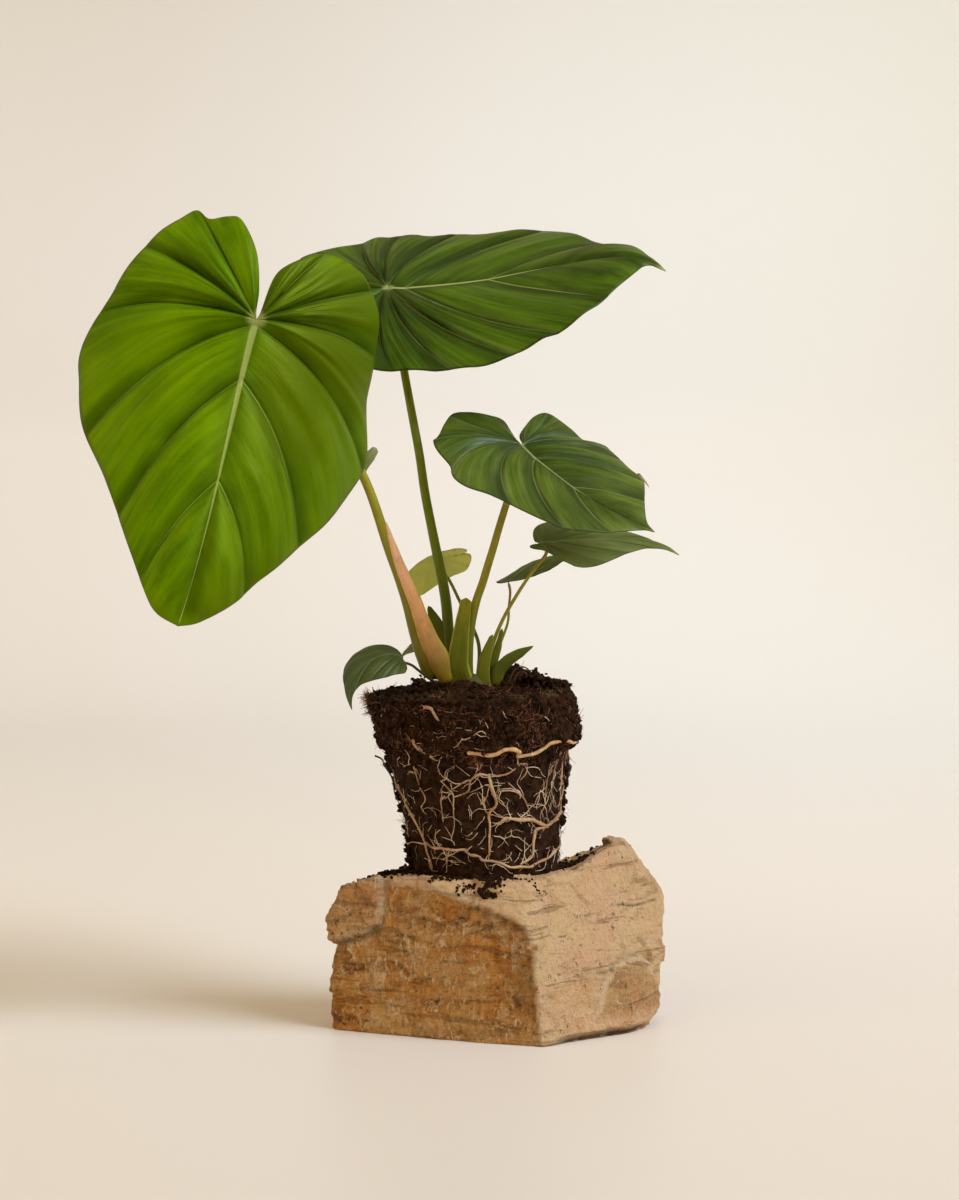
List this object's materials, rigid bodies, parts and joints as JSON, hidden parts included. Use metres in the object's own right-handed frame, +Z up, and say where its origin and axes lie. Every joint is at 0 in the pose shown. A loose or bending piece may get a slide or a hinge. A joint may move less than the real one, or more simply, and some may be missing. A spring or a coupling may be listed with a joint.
{
  "type": "hybrid philodendron with bare root ball on a stone",
  "caption": "Philodendron with heart-shaped leaves on tall stalks and a bare, root-bound soil ball that stands on a rough block of stone.",
  "frame": {"origin": "on the floor, under the middle of the root ball's underside", "axes": "+Z up, +X to the right as seen from the front, -Y towards the front, where the large leaf hangs"},
  "size_m": [0.3253, 0.2341, 0.4544],
  "materials": {
    "stone": "rough ochre sandstone with dark specks and pale cracks",
    "soil": "moist fibrous potting soil",
    "root": "pale tan living roots",
    "stem_brown": "dark brown-green stem",
    "leaf_bright": "glossy bright olive-green leaf",
    "leaf_dark": "semi-gloss dark green leaf",
    "leaf_grey": "satin grey-green leaf",
    "leaf_pale": "satin pale green leaf underside",
    "stalk_olive": "smooth olive-yellow stalk",
    "stalk_green": "smooth green stalk",
    "sheath_salmon": "satin salmon-pink sheath"
  },
  "bodies": {
    "root": {"stone": "stone", "root_ball": "soil", "rhizome": "stem_brown", "root_web": "root", "root_band": "root", "leaf_large_blade": "leaf_bright", "leaf_large_stalk": "stalk_olive", "leaf_upper_blade": "leaf_dark", "leaf_upper_stalk": "stalk_green", "leaf_right_blade": "leaf_dark", "leaf_right_stalk": "stalk_olive", "leaf_low_blade": "leaf_grey", "leaf_low_stalk": "stalk_olive", "leaf_narrow_blade": "leaf_dark", "leaf_narrow_stalk": "stalk_olive", "leaf_behind_blade": "leaf_pale", "leaf_behind_stalk": "stalk_green", "leaf_drooping_blade": "leaf_grey", "leaf_drooping_stalk": "stem_brown", "leaf_hidden_blade": "leaf_pale", "leaf_hidden_stalk": "stalk_green", "leaf_large_sheath": "sheath_salmon", "leaf_right_sheath": "stalk_green", "leaf_low_sheath": "stalk_olive", "leaf_narrow_sheath": "stalk_olive", "scale_leaf_left": "leaf_dark", "scale_leaf_right": "stalk_green", "young_leaf_roll": "leaf_pale", "soil_crumbs_front": "soil", "soil_crumbs_left": "soil", "soil_crumbs_right": "soil"}
  },
  "joints": []
}
